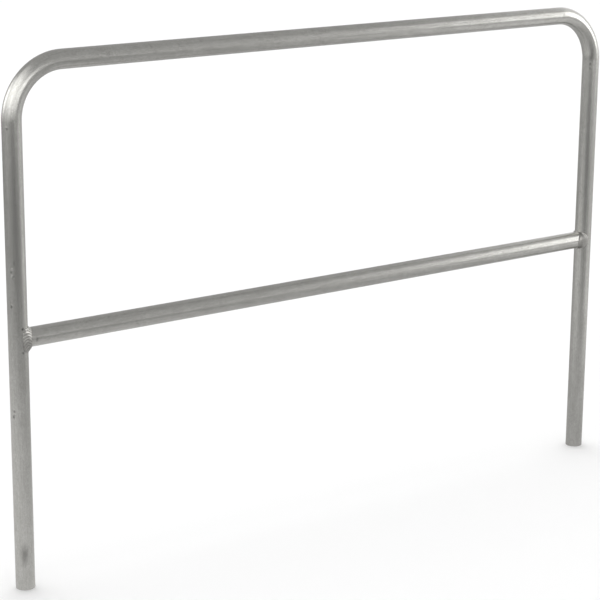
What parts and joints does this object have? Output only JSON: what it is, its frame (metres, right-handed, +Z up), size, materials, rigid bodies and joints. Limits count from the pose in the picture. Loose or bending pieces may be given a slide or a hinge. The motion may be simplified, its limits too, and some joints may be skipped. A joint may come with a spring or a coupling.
{
  "type": "crowd control barrier",
  "caption": "Welded hoop barrier: a round tube bent into two legs and a top rail, with a straight mid rail coped and welded between the legs.",
  "frame": {"origin": "midway between the two leg ends, at their lowest level, on both centre planes", "axes": "+X along the top rail and the mid rail, +Y through the thickness, +Z up"},
  "size_m": [1.6, 0.0438, 1.1],
  "materials": {
    "galvanised_tube": "hot-dip galvanised, satin with faint streaks",
    "galvanised_rail": "hot-dip galvanised, satin with faint streaks",
    "galvanised_weld": "hot-dip galvanised weld bead, rippled"
  },
  "bodies": {
    "root": {"hoop_tube": "galvanised_tube", "mid_rail": "galvanised_rail", "left_weld": "galvanised_weld", "right_weld": "galvanised_weld"}
  },
  "joints": []
}
